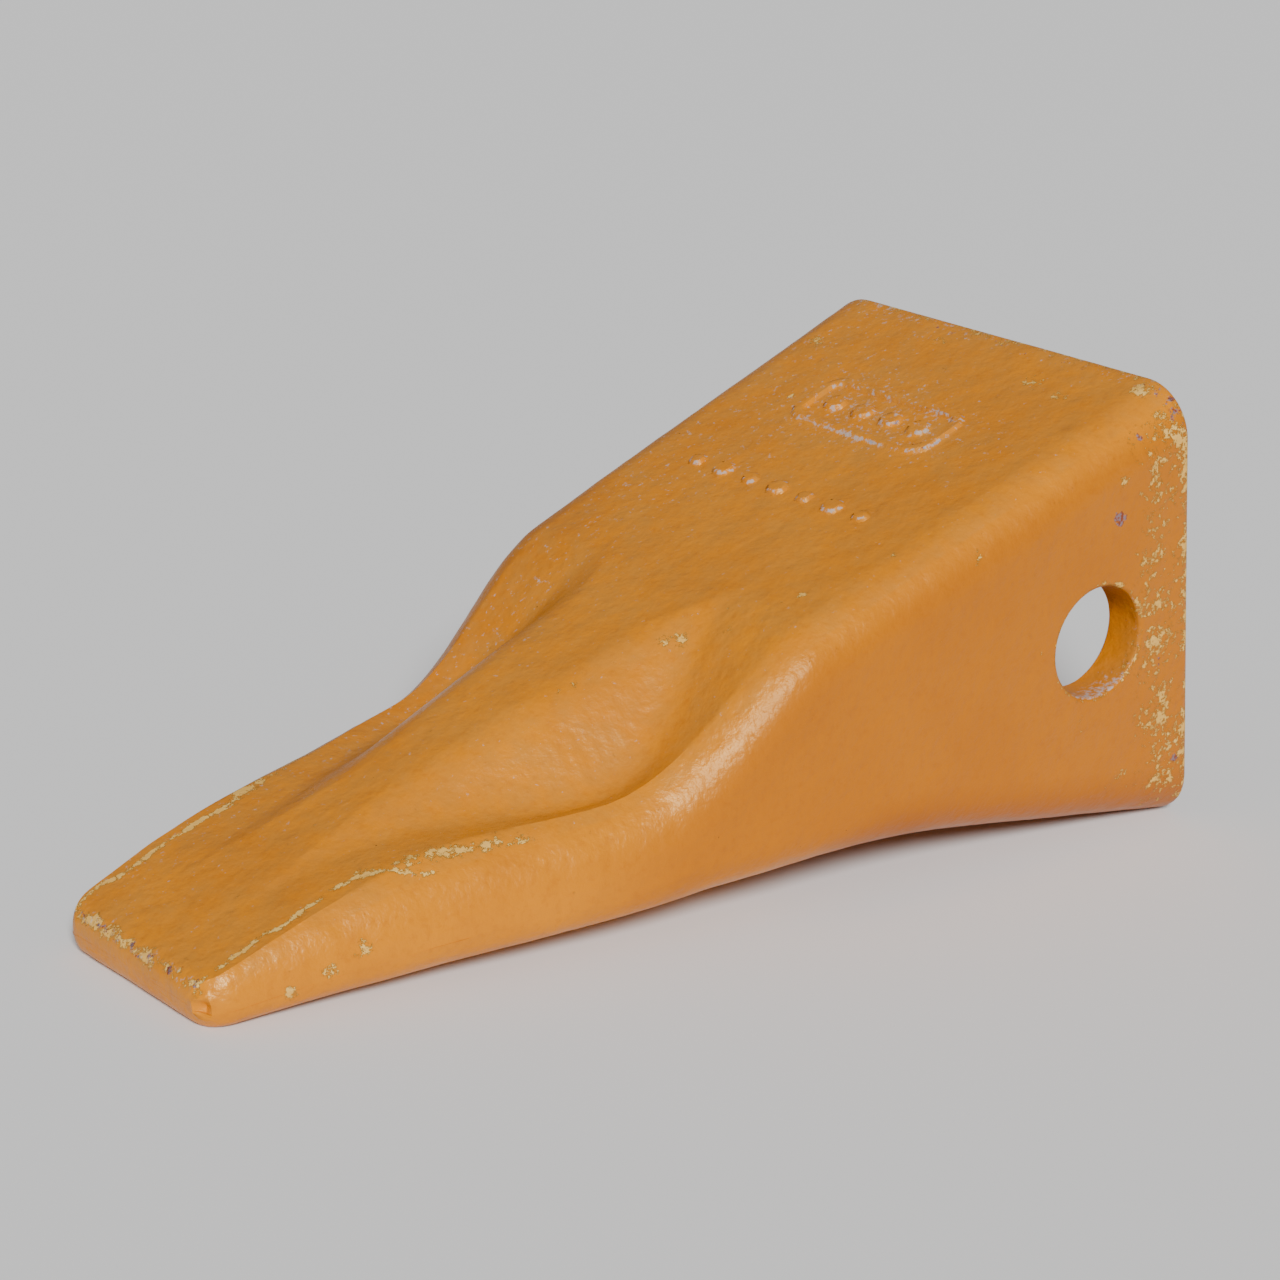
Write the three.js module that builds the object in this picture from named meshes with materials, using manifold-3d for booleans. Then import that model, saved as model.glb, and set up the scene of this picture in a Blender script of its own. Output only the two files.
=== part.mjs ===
// Side-pinned excavator bucket tooth: a hollow cast tip with its lock pin and its two-piece
// retainer. Millimetres, +Z up. The tooth's own frame has x = 0 on the rear face, +X towards the
// digging tip, and the lock pin's axis along Y through z = 0. At the end the whole tooth is
// pitched and lifted so that it lies on the floor, on its heel and its tip.
import * as THREE from 'three';
import { mergeVertices } from 'three/addons/utils/BufferGeometryUtils.js';
import Module from 'manifold-3d';

const wasm = await Module();
wasm.setup();

const { clamp, degToRad, mapLinear } = THREE.MathUtils;

// ---- Driving dimensions ----

// Box: the rear half, whose top and heel planes close towards the tip
const REAR_WIDTH = 165;
const REAR_HEIGHT = 153.3;
const LENGTH = 361;
const PLANE_SLOPE = Math.tan(degToRad(14.63));
const SIDE_TAPER = Math.tan(degToRad(2.4));
const CORNER_RADIUS = 17;
const REAR_EDGE_RADIUS = 2.8;

// Blade: the front half, scooped on both sides of a central tongue
const HEEL_LENGTH = 131;
const HEEL_BLEND = 7;
const SCOOP_START = 152.4;
const SCOOP_RUN = 74.8;
const SCOOP_FLOOR_AT_TIP = -4.5;
const SCOOP_FLOOR_SLOPE = Math.tan(degToRad(2.3));
const SCOOP_HOLLOW = { depth: 7.3, x: 218, length: 38.7, side: 0.55, width: 0.28 };
const TONGUE_REAR = { x: 175, halfWidth: 23 };
const TONGUE_FRONT = { x: 344, halfWidth: 8 };
const TONGUE_BLEND = 8;
const TONGUE_EDGE_BLEND = 8;
const SHOULDER_RADIUS = 24.5;
const BEVEL = { rise: 4.1, start: 250, run: 83.5 };
const UNDERSIDE_RADIUS = 15;

// Plan taper: the sides turn in towards the neck, and again towards the tip
const TAPER_CHANGE = 194.5;
const NECK = { x: 300, halfWidth: 52.7 };
const SIDE_BLEND = 13;
const NECK_BLEND = 6.6;

// Tip
const TIP_HALF_WIDTH = 40.5;
const TIP_UNDERSIDE = -31.5;
const TIP_CORNER_RADIUS = 10;
const TIP_EDGE_RADIUS = 5;

// Socket for the adapter's nose
const WALL = 14.4;
const SOCKET_HALF_HEIGHT = 60;
const SOCKET_NOSE_START = 121;
const SOCKET_NOSE_HALF_HEIGHT = 18.5;
const SOCKET_DEPTH = 160;
const SOCKET_DRAFT = 1;
const SOCKET_CORNER_REAR = 13;
const SOCKET_CORNER_FRONT = 8;
const MOUTH_CHAMFER = 3;

// Cross bores and the pocket that seats the retainer inside the far wall
const BORE_FROM_REAR = 41.6;
const BORE_RADIUS = 18.7;
const POCKET_RADIUS = 29;
const POCKET_DEPTH = 3.3;

// Lock pin, drawn partly driven in from the far side
const PIN_RADIUS = 17.5;
const PIN_LENGTH = 157;
const PIN_CHAMFER = 3.3;
const PIN_GROOVE_DEPTH = 1.8;
const PIN_GROOVE_WIDTH = 6.6;
const PIN_WITHDRAWN = 48;

// Retainer
const RETAINER_RADIUS = 28.4;
const RETAINER_BORE = 19.8;
const RETAINER_WIDTH = 13;
const RETAINER_CHAMFER = 1.3;
const SPRING_GROOVE_RADIUS = 24.2;
const SPRING_GROOVE_WIDTH = 5.5;
const SPRING_OUTER = 23.8;
const SPRING_INNER = 18;
const SPRING_WIDTH = 4.8;
const SPRING_BEVEL = 0.5;
const SPRING_GAP_ANGLE = degToRad(50);
const SEAT_GAP = 0.3;

// Facets
const ROUND_SEGMENTS = 40;
const SPRING_SEGMENTS = 20;

// ---- Materials ----

const castingPaint = new THREE.MeshStandardMaterial({ color: 0xd08c2c, roughness: 0.45, metalness: 0 });
const pinSteel = new THREE.MeshStandardMaterial({ color: 0x77787a, roughness: 0.4, metalness: 1 });
const retainerRubber = new THREE.MeshStandardMaterial({ color: 0x1e1e20, roughness: 0.8, metalness: 0 });
const springSteel = new THREE.MeshStandardMaterial({ color: 0x54575c, roughness: 0.35, metalness: 1 });

// ---- Helpers ----

function smoothstep(t) {
  const c = clamp(t, 0, 1);
  return c * c * (3 - 2 * c);
}

function smoothMin(a, b, blend) {
  const h = clamp(0.5 + 0.5 * (b - a) / blend, 0, 1);
  return b * (1 - h) + a * h - blend * h * (1 - h);
}

function smoothMax(a, b, blend) {
  return -smoothMin(-a, -b, blend);
}

// How far a face stands back at a distance from an end whose edge is rounded
function edgeInset(distance, radius) {
  const e = Math.max(radius - distance, 0);
  return radius - Math.sqrt(radius * radius - e * e);
}

// count values after from, the last one being to
function steps(from, to, count) {
  return Array.from({ length: count }, (_, i) => from + (to - from) * (i + 1) / count);
}

// A closed skin over sections that all have the same number of [y, z] points, with flat ends
function loft(sections) {
  const positions = [];
  const indices = [];
  const count = sections[0].points.length;
  for (const { x, points } of sections) {
    for (const [y, z] of points) positions.push(x, y, z);
  }
  for (let i = 0; i < sections.length - 1; i++) {
    for (let j = 0; j < count; j++) {
      const a = i * count + j;
      const b = i * count + (j + 1) % count;
      indices.push(a, b, a + count, b, b + count, a + count);
    }
  }
  [0, sections.length - 1].forEach((end) => {
    const { x, points } = sections[end];
    const middle = points.reduce(([y, z], p) => [y + p[0] / count, z + p[1] / count], [0, 0]);
    const centre = positions.length / 3;
    positions.push(x, ...middle);
    for (let j = 0; j < count; j++) {
      const a = end * count + j;
      const b = end * count + (j + 1) % count;
      indices.push(centre, ...(end === 0 ? [b, a] : [a, b]));
    }
  });
  const geometry = new THREE.BufferGeometry();
  geometry.setAttribute('position', new THREE.Float32BufferAttribute(positions, 3));
  geometry.setIndex(indices);
  return geometry;
}

function toSolid(geometry) {
  const bare = geometry.clone();
  bare.deleteAttribute('normal');
  bare.deleteAttribute('uv');
  const merged = mergeVertices(bare, 1e-4);
  return new wasm.Manifold(new wasm.Mesh({
    numProp: 3,
    vertProperties: new Float32Array(merged.attributes.position.array),
    triVerts: new Uint32Array(merged.index.array),
  }));
}

function toGeometry(solid) {
  const { vertProperties, triVerts } = solid.getMesh();
  const geometry = new THREE.BufferGeometry();
  geometry.setAttribute('position', new THREE.BufferAttribute(new Float32Array(vertProperties), 3));
  geometry.setIndex(new THREE.BufferAttribute(new Uint32Array(triVerts), 1));
  geometry.computeVertexNormals();
  return geometry;
}

function mesh(name, geometry, material) {
  const piece = new THREE.Mesh(geometry, material);
  piece.name = name;
  return piece;
}

// ---- Tooth casting: the outer skin ----

function topPlane(x) {
  return REAR_HEIGHT / 2 - PLANE_SLOPE * x;
}

// The scooped surface on both sides of the tongue
function scoopSurface(x) {
  const floor = SCOOP_FLOOR_AT_TIP + SCOOP_FLOOR_SLOPE * (LENGTH - x);
  const share = smoothstep((x - SCOOP_START) / SCOOP_RUN);
  return topPlane(x) * (1 - share) + smoothMin(topPlane(x), floor, TONGUE_BLEND) * share;
}

function underside(x) {
  const kink = -topPlane(HEEL_LENGTH);
  const front = mapLinear(x, HEEL_LENGTH, LENGTH, kink, TIP_UNDERSIDE);
  return smoothMin(-topPlane(x), front, HEEL_BLEND);
}

function halfWidth(x) {
  const box = REAR_WIDTH / 2 - SIDE_TAPER * x;
  const turn = REAR_WIDTH / 2 - SIDE_TAPER * TAPER_CHANGE;
  const waist = mapLinear(x, TAPER_CHANGE, NECK.x, turn, NECK.halfWidth);
  const nose = mapLinear(x, NECK.x, LENGTH, NECK.halfWidth, TIP_HALF_WIDTH);
  return smoothMin(smoothMin(box, waist, SIDE_BLEND), nose, NECK_BLEND);
}

// Height of the top at (x, y) before its long edges are rounded
function topSurface(x, y) {
  const tongueHalf = mapLinear(x, TONGUE_REAR.x, TONGUE_FRONT.x, TONGUE_REAR.halfWidth, TONGUE_FRONT.halfWidth);
  const tongue = topPlane(x) - smoothMax(Math.abs(y) - tongueHalf, 0, TONGUE_EDGE_BLEND);
  const along = (x - SCOOP_HOLLOW.x) / SCOOP_HOLLOW.length;
  const across = (Math.abs(y) / halfWidth(x) - SCOOP_HOLLOW.side) / SCOOP_HOLLOW.width;
  const hollow = SCOOP_HOLLOW.depth * Math.exp(-along * along - across * across);
  return Math.min(topPlane(x), smoothMax(scoopSurface(x) - hollow, tongue, TONGUE_BLEND));
}

// One section of the skin, counter-clockwise seen from the tip, starting under the middle
function skinSection(x) {
  const rear = edgeInset(x, REAR_EDGE_RADIUS);
  const front = edgeInset(LENGTH - x, TIP_EDGE_RADIUS);
  const half = halfWidth(x) - rear - edgeInset(LENGTH - x, TIP_CORNER_RADIUS);
  const bottom = underside(x) + rear + front;
  const crown = scoopSurface(x) - rear - front + BEVEL.rise * smoothstep((x - BEVEL.start) / BEVEL.run);
  const share = smoothstep((x - SCOOP_START) / SCOOP_RUN);
  const shoulder = Math.min(CORNER_RADIUS + (SHOULDER_RADIUS - CORNER_RADIUS) * share, 0.7 * (crown - bottom));
  const foot = Math.min(UNDERSIDE_RADIUS, 0.3 * (crown - bottom));
  const arc = (count) => steps(0, Math.PI / 2, count);

  const right = [[0, bottom], [(half - foot) / 2, bottom], [half - foot, bottom]];
  for (const a of arc(4)) right.push([half - foot + foot * Math.sin(a), bottom + foot - foot * Math.cos(a)]);
  for (const a of [0, ...arc(6)]) {
    const y = half - shoulder + shoulder * Math.cos(a);
    const z = crown - shoulder + shoulder * Math.sin(a);
    right.push([y, Math.min(z, topSurface(x, y) - rear - front)]);
  }
  for (const y of steps(half - shoulder, 0, 8)) right.push([y, topSurface(x, y) - rear - front]);
  const left = right.slice(1, -1).reverse().map(([y, z]) => [-y, z]);
  return { x, points: [...right, ...left] };
}

function skinStations() {
  const noseStart = LENGTH - TIP_CORNER_RADIUS;
  return [
    0, 0.4, 1.2,
    ...steps(REAR_EDGE_RADIUS - 0.3, SCOOP_START, 5),
    ...steps(SCOOP_START, SCOOP_START + SCOOP_RUN, 10),
    ...steps(SCOOP_START + SCOOP_RUN, noseStart, 11),
    noseStart + 3, LENGTH - 1.4, LENGTH - 0.5, LENGTH,
  ];
}

// ---- Tooth casting: the socket and the bores ----

function socketHalfWidth(x) {
  return REAR_WIDTH / 2 - WALL - SIDE_TAPER * x;
}

function roundedRectangle(x, halfY, halfZ, radius) {
  const points = [];
  for (let corner = 0; corner < 4; corner++) {
    const start = corner * Math.PI / 2;
    const signY = corner === 0 || corner === 3 ? 1 : -1;
    const signZ = corner < 2 ? 1 : -1;
    for (let k = 0; k <= 4; k++) {
      const angle = start + k * Math.PI / 8;
      points.push([
        signY * (halfY - radius) + radius * Math.cos(angle),
        signZ * (halfZ - radius) + radius * Math.sin(angle),
      ]);
    }
  }
  return { x, points };
}

function socket() {
  const slope = (SOCKET_HALF_HEIGHT - SOCKET_NOSE_HALF_HEIGHT) / SOCKET_NOSE_START;
  const halfHeight = (x) => SOCKET_HALF_HEIGHT - slope * x;
  const endHeight = SOCKET_NOSE_HALF_HEIGHT - SOCKET_DRAFT;
  const endRound = 3;
  return loft([
    roundedRectangle(-1, socketHalfWidth(0) + MOUTH_CHAMFER + 1, SOCKET_HALF_HEIGHT + MOUTH_CHAMFER + 1,
      SOCKET_CORNER_REAR + MOUTH_CHAMFER),
    roundedRectangle(MOUTH_CHAMFER, socketHalfWidth(MOUTH_CHAMFER), halfHeight(MOUTH_CHAMFER),
      SOCKET_CORNER_REAR),
    roundedRectangle(SOCKET_NOSE_START, socketHalfWidth(SOCKET_NOSE_START), SOCKET_NOSE_HALF_HEIGHT,
      SOCKET_CORNER_FRONT),
    roundedRectangle(SOCKET_DEPTH - endRound, socketHalfWidth(SOCKET_DEPTH), endHeight, SOCKET_CORNER_FRONT),
    roundedRectangle(SOCKET_DEPTH, socketHalfWidth(SOCKET_DEPTH) - endRound, endHeight - endRound,
      SOCKET_CORNER_FRONT - endRound),
  ]);
}

// A cylinder along Y at the bore's place, from one y to another
function crossCylinder(radius, fromY, toY) {
  const cylinder = new THREE.CylinderGeometry(radius, radius, toY - fromY, ROUND_SEGMENTS);
  cylinder.translate(BORE_FROM_REAR, (fromY + toY) / 2, 0);
  return cylinder;
}

function toothCasting() {
  const farWall = -socketHalfWidth(BORE_FROM_REAR);
  const solid = toSolid(loft(skinStations().map(skinSection)))
    .subtract(toSolid(socket()))
    .subtract(toSolid(crossCylinder(BORE_RADIUS, -REAR_WIDTH, REAR_WIDTH)))
    .subtract(toSolid(crossCylinder(POCKET_RADIUS, farWall - POCKET_DEPTH, 0)));
  return mesh('tooth_casting', toGeometry(solid), castingPaint);
}

// ---- Lock pin and retainer, both on the bore's axis ----

function lockPin() {
  const end = PIN_LENGTH / 2;
  const groove = -retainerSeat();
  const floor = PIN_RADIUS - PIN_GROOVE_DEPTH;
  const halfGroove = PIN_GROOVE_WIDTH / 2;
  const profile = [
    [0, -end], [PIN_RADIUS - PIN_CHAMFER, -end], [PIN_RADIUS, -end + PIN_CHAMFER],
    [PIN_RADIUS, groove - halfGroove], [floor, groove - halfGroove + PIN_GROOVE_DEPTH],
    [floor, groove + halfGroove - PIN_GROOVE_DEPTH], [PIN_RADIUS, groove + halfGroove],
    [PIN_RADIUS, end - PIN_CHAMFER], [PIN_RADIUS - PIN_CHAMFER, end], [0, end],
  ].map(([r, y]) => new THREE.Vector2(r, y));
  const pin = mesh('lock_pin', new THREE.LatheGeometry(profile, ROUND_SEGMENTS), pinSteel);
  pin.position.set(BORE_FROM_REAR, -PIN_WITHDRAWN, 0);
  return pin;
}

// Distance from the middle plane to the middle of the seated retainer
function retainerSeat() {
  return socketHalfWidth(BORE_FROM_REAR) + POCKET_DEPTH - SEAT_GAP - RETAINER_WIDTH / 2;
}

function retainerBody() {
  const side = RETAINER_WIDTH / 2;
  const slot = SPRING_GROOVE_WIDTH / 2;
  const profile = [
    [RETAINER_BORE, -side], [RETAINER_RADIUS - RETAINER_CHAMFER, -side],
    [RETAINER_RADIUS, -side + RETAINER_CHAMFER], [RETAINER_RADIUS, side - RETAINER_CHAMFER],
    [RETAINER_RADIUS - RETAINER_CHAMFER, side], [RETAINER_BORE, side],
    [RETAINER_BORE, slot], [SPRING_GROOVE_RADIUS, slot], [SPRING_GROOVE_RADIUS, -slot],
    [RETAINER_BORE, -slot], [RETAINER_BORE, -side],
  ].map(([r, y]) => new THREE.Vector2(r, y));
  const body = mesh('retainer_body', new THREE.LatheGeometry(profile, ROUND_SEGMENTS), retainerRubber);
  body.position.set(BORE_FROM_REAR, -retainerSeat(), 0);
  return body;
}

function retainerSpring() {
  const from = SPRING_GAP_ANGLE / 2;
  const to = 2 * Math.PI - SPRING_GAP_ANGLE / 2;
  const outline = new THREE.Shape();
  outline.absarc(0, 0, SPRING_OUTER, from, to, false);
  outline.absarc(0, 0, SPRING_INNER, to, from, true);
  outline.closePath();
  const ring = new THREE.ExtrudeGeometry(outline, {
    depth: SPRING_WIDTH - 2 * SPRING_BEVEL,
    curveSegments: SPRING_SEGMENTS,
    bevelThickness: SPRING_BEVEL,
    bevelSize: SPRING_BEVEL,
    bevelOffset: -SPRING_BEVEL,
    bevelSegments: 1,
  });
  ring.translate(0, 0, SPRING_BEVEL - SPRING_WIDTH / 2);
  ring.rotateX(Math.PI / 2);
  const spring = mesh('retainer_spring', ring, springSteel);
  spring.position.set(BORE_FROM_REAR, -retainerSeat(), 0);
  spring.rotation.y = Math.PI / 2;
  return spring;
}

// ---- The whole tooth, lying on the floor on its heel and its tip ----

const tooth = new THREE.Group();
tooth.add(toothCasting(), lockPin(), retainerBody(), retainerSpring());
tooth.rotation.y = Math.atan2(TIP_UNDERSIDE + REAR_HEIGHT / 2, LENGTH);

// The origin is on the floor, under the middle of everything
const bounds = new THREE.Box3().setFromObject(tooth, true);
const middle = bounds.getCenter(new THREE.Vector3());
tooth.position.set(-middle.x, -middle.y, -bounds.min.z);

const bucketTooth = new THREE.Group();
bucketTooth.add(tooth);

export default bucketTooth;
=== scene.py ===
"""Looks of a side-pinned excavator bucket tooth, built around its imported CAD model.

Shapes are worked out in millimetres in the tooth's own frame: x = 0 on the rear rim, +X towards
the digging tip, the lock pin's axis along Y through z = 0. They are then pitched onto the floor
and moved to where the CAD model lies.
"""
import math

import bmesh
import bpy
import numpy as np
from mathutils import Matrix, Vector


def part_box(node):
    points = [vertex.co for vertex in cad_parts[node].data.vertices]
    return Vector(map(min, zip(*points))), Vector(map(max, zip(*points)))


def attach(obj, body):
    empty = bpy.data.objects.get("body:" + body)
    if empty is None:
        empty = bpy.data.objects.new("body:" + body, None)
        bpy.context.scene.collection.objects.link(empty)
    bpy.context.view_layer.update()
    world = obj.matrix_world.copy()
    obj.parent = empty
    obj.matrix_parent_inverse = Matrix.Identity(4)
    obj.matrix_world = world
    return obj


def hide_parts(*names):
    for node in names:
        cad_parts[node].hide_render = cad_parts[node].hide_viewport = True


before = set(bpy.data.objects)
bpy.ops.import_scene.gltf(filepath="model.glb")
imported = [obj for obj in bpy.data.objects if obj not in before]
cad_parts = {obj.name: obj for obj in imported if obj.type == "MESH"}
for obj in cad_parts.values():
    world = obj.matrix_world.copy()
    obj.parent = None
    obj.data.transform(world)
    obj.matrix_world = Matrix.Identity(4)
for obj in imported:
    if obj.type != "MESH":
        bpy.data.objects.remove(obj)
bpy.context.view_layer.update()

MM = 0.001

# ---- Sizes of the casting, as in the CAD model, in millimetres ----

REAR_WIDTH = 165
REAR_HEIGHT = 153.3
LENGTH = 361
PLANE_SLOPE = math.tan(math.radians(14.63))
SIDE_TAPER = math.tan(math.radians(2.4))
CORNER_RADIUS = 17
REAR_EDGE_RADIUS = 2.8
HEEL_LENGTH = 131
HEEL_BLEND = 7
SCOOP_START = 152.4
SCOOP_RUN = 74.8
SCOOP_FLOOR_AT_TIP = -4.5
SCOOP_FLOOR_SLOPE = math.tan(math.radians(2.3))
HOLLOW_DEPTH, HOLLOW_X, HOLLOW_LENGTH = 7.3, 218, 38.7
HOLLOW_SIDE, HOLLOW_WIDTH = 0.55, 0.28
TONGUE_REAR_X, TONGUE_REAR_HALF = 175, 23
TONGUE_FRONT_X, TONGUE_FRONT_HALF = 344, 8
TONGUE_BLEND = 8
TONGUE_EDGE_BLEND = 8
SHOULDER_RADIUS = 24.5
BEVEL_RISE, BEVEL_START, BEVEL_RUN = 4.1, 250, 83.5
UNDERSIDE_RADIUS = 15
TAPER_CHANGE = 194.5
NECK_X, NECK_HALF = 300, 52.7
SIDE_BLEND = 13
NECK_BLEND = 6.6
TIP_HALF_WIDTH = 40.5
TIP_UNDERSIDE = -31.5
TIP_CORNER_RADIUS = 10
TIP_EDGE_RADIUS = 5
WALL = 14.4
SOCKET_HALF_HEIGHT = 60
SOCKET_NOSE_START = 121
SOCKET_NOSE_HALF_HEIGHT = 18.5
SOCKET_DEPTH = 160
SOCKET_DRAFT = 1
SOCKET_CORNER_REAR = 13
SOCKET_CORNER_FRONT = 8
MOUTH_CHAMFER = 3
MOUTH_ROUND = 1.2
MOUTH_ROUND_FLARE = 0.6
SOCKET_BLEND = 1.5
SOCKET_END_RADIUS = 4
SOCKET_END_SQUARING = 0.8
BORE_FROM_REAR = 41.6
BORE_RADIUS = 18.7
BORE_EDGE = 1.6
BORE_INNER_EDGE = 0.8
POCKET_RADIUS = 29
POCKET_DEPTH = 3.3
POCKET_ROUND = 0.8
PITCH = math.atan2(TIP_UNDERSIDE + REAR_HEIGHT / 2, LENGTH)

# ---- Small maths ----


def smoothstep(t):
    t = np.clip(t, 0, 1)
    return t * t * (3 - 2 * t)


def smooth_min(a, b, blend):
    h = np.clip(0.5 + 0.5 * (b - a) / blend, 0, 1)
    return b * (1 - h) + a * h - blend * h * (1 - h)


def smooth_max(a, b, blend):
    return -smooth_min(-a, -b, blend)


def line(x, x0, y0, x1, y1):
    return y0 + (x - x0) * (y1 - y0) / (x1 - x0)


def falloff(distance, width):
    """1 at no distance, and soon 0 past the width."""
    return np.exp(-((distance / width) ** 2))


def edge_inset(distance, radius):
    """How far a rounded edge's surface lies in from the flat face, by the distance from its end."""
    e = np.clip(radius - distance, 0, radius)
    return radius - np.sqrt(radius * radius - e * e)


def steps(start, end, count):
    """count values after start, the last one being end."""
    return start + (end - start) * np.arange(1, count + 1) / count


def lattice(ix, iy, iz, seed):
    """A repeatable number from 0 to 1 for each point of an integer grid."""
    n = (ix * 73856093) ^ (iy * 19349663) ^ (iz * 83492791) ^ (seed * 15485863)
    n = n & 0xFFFFFFFF
    n = ((n ^ (n >> 15)) * 2246822519) & 0xFFFFFFFF
    n = ((n ^ (n >> 13)) * 3266489917) & 0xFFFFFFFF
    return ((n ^ (n >> 16)) & 0xFFFFFF) / 0xFFFFFF


def value_noise(points, size, seed):
    """Smooth noise from -1 to 1 with features of about the given size."""
    p = points / size
    cell = np.floor(p).astype(np.int64)
    f = p - cell
    f = f * f * (3 - 2 * f)
    total = np.zeros(len(points))
    for dx in (0, 1):
        for dy in (0, 1):
            for dz in (0, 1):
                weight = (
                    (f[:, 0] if dx else 1 - f[:, 0])
                    * (f[:, 1] if dy else 1 - f[:, 1])
                    * (f[:, 2] if dz else 1 - f[:, 2])
                )
                total += weight * lattice(cell[:, 0] + dx, cell[:, 1] + dy, cell[:, 2] + dz, seed)
    return 2 * total - 1


# ---- The casting's outer form ----


def top_plane(x):
    return REAR_HEIGHT / 2 - PLANE_SLOPE * x


def scoop_surface(x):
    """The top's height beside the tongue: the top plane, which falls to the scoop's floor."""
    floor = SCOOP_FLOOR_AT_TIP + SCOOP_FLOOR_SLOPE * (LENGTH - x)
    share = smoothstep((x - SCOOP_START) / SCOOP_RUN)
    return top_plane(x) * (1 - share) + smooth_min(top_plane(x), floor, TONGUE_BLEND) * share


def underside(x):
    kink = -top_plane(HEEL_LENGTH)
    front = line(x, HEEL_LENGTH, kink, LENGTH, TIP_UNDERSIDE)
    return smooth_min(-top_plane(x), front, HEEL_BLEND)


def half_width(x):
    box = REAR_WIDTH / 2 - SIDE_TAPER * x
    turn = REAR_WIDTH / 2 - SIDE_TAPER * TAPER_CHANGE
    waist = line(x, TAPER_CHANGE, turn, NECK_X, NECK_HALF)
    nose = line(x, NECK_X, NECK_HALF, LENGTH, TIP_HALF_WIDTH)
    return smooth_min(smooth_min(box, waist, SIDE_BLEND), nose, NECK_BLEND)


def top_surface(x, y):
    """The scoops with the tongue between them, nowhere above the top plane."""
    tongue_half = line(x, TONGUE_REAR_X, TONGUE_REAR_HALF, TONGUE_FRONT_X, TONGUE_FRONT_HALF)
    tongue = top_plane(x) - smooth_max(np.abs(y) - tongue_half, 0, TONGUE_EDGE_BLEND)
    along = (x - HOLLOW_X) / HOLLOW_LENGTH
    across = (np.abs(y) / half_width(x) - HOLLOW_SIDE) / HOLLOW_WIDTH
    hollow = HOLLOW_DEPTH * np.exp(-along * along - across * across)
    return np.minimum(top_plane(x), smooth_max(scoop_surface(x) - hollow, tongue, TONGUE_BLEND))


# The shoulder's and the foot's radii never take more than these shares of the height
SHOULDER_LIMIT, FOOT_LIMIT = 0.7, 0.3
BISECTIONS = 40


class Skin:
    """The rounded section at each station x, one row each. crease is the angle on the shoulder's
    arc where it meets the top."""

    def __init__(self, stations):
        x = stations[:, None]
        rear = edge_inset(x, REAR_EDGE_RADIUS)
        self.x = x
        self.inset = rear + edge_inset(LENGTH - x, TIP_EDGE_RADIUS)
        self.half = half_width(x) - rear - edge_inset(LENGTH - x, TIP_CORNER_RADIUS)
        self.bottom = underside(x) + self.inset
        bevel = BEVEL_RISE * smoothstep((x - BEVEL_START) / BEVEL_RUN)
        self.crown = scoop_surface(x) - self.inset + bevel
        share = smoothstep((x - SCOOP_START) / SCOOP_RUN)
        radius = CORNER_RADIUS + (SHOULDER_RADIUS - CORNER_RADIUS) * share
        self.shoulder = np.minimum(radius, SHOULDER_LIMIT * (self.crown - self.bottom))
        self.foot = np.minimum(UNDERSIDE_RADIUS, FOOT_LIMIT * (self.crown - self.bottom))
        self.crease = self.find_crease()

    def arc(self, angle):
        y = self.half - self.shoulder + self.shoulder * np.cos(angle)
        z = self.crown - self.shoulder + self.shoulder * np.sin(angle)
        return y, z

    def top(self, y):
        return top_surface(self.x, y) - self.inset

    def find_crease(self):
        low = np.zeros_like(self.x)
        high = np.full_like(self.x, math.pi / 2)
        for _ in range(BISECTIONS):
            middle = (low + high) / 2
            y, z = self.arc(middle)
            under = z < self.top(y)
            low = np.where(under, middle, low)
            high = np.where(under, high, middle)
        return low


# Points round half of a section: bottom, bottom edge, side, shoulder, top
BOTTOM_STEPS, FOOT_STEPS, SIDE_STEPS, SHOULDER_STEPS, TOP_STEPS = 18, 8, 44, 24, 72


def close_ring(y, z):
    """Mirrors half sections, which run from the bottom middle to the top middle."""
    left_y = -y[:, -2:0:-1]
    left_z = z[:, -2:0:-1]
    return np.concatenate([y, left_y], axis=1), np.concatenate([z, left_z], axis=1)


def skin_rings(stations):
    """The casting's outer sections, from the bottom's middle round to it again."""
    skin = Skin(stations)
    half, bottom, foot = skin.half, skin.bottom, skin.foot
    share = steps(0, 1, BOTTOM_STEPS)[None]
    bottom_y = np.concatenate([np.zeros_like(half), (half - foot) * share], axis=1)
    bottom_z = np.broadcast_to(bottom, bottom_y.shape)
    angle = steps(0, math.pi / 2, FOOT_STEPS)[None]
    foot_y = half - foot + foot * np.sin(angle)
    foot_z = bottom + foot - foot * np.cos(angle)
    low, high = bottom + foot, skin.crown - skin.shoulder
    side_z = low + (high - low) * steps(0, 1, SIDE_STEPS)[None]
    side_y = np.broadcast_to(half, side_z.shape)
    shoulder_y, shoulder_z = skin.arc(skin.crease * steps(0, 1, SHOULDER_STEPS)[None])
    top_y = shoulder_y[:, -1:] * (1 - steps(0, 1, TOP_STEPS)[None])
    top_z = skin.top(top_y)
    y = np.concatenate([bottom_y, foot_y, side_y, shoulder_y, top_y], axis=1)
    z = np.concatenate([bottom_z, foot_z, side_z, shoulder_z, top_z], axis=1)
    y, z = close_ring(y, z)
    return np.stack([np.broadcast_to(skin.x, y.shape), y, z], axis=-1)


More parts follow.
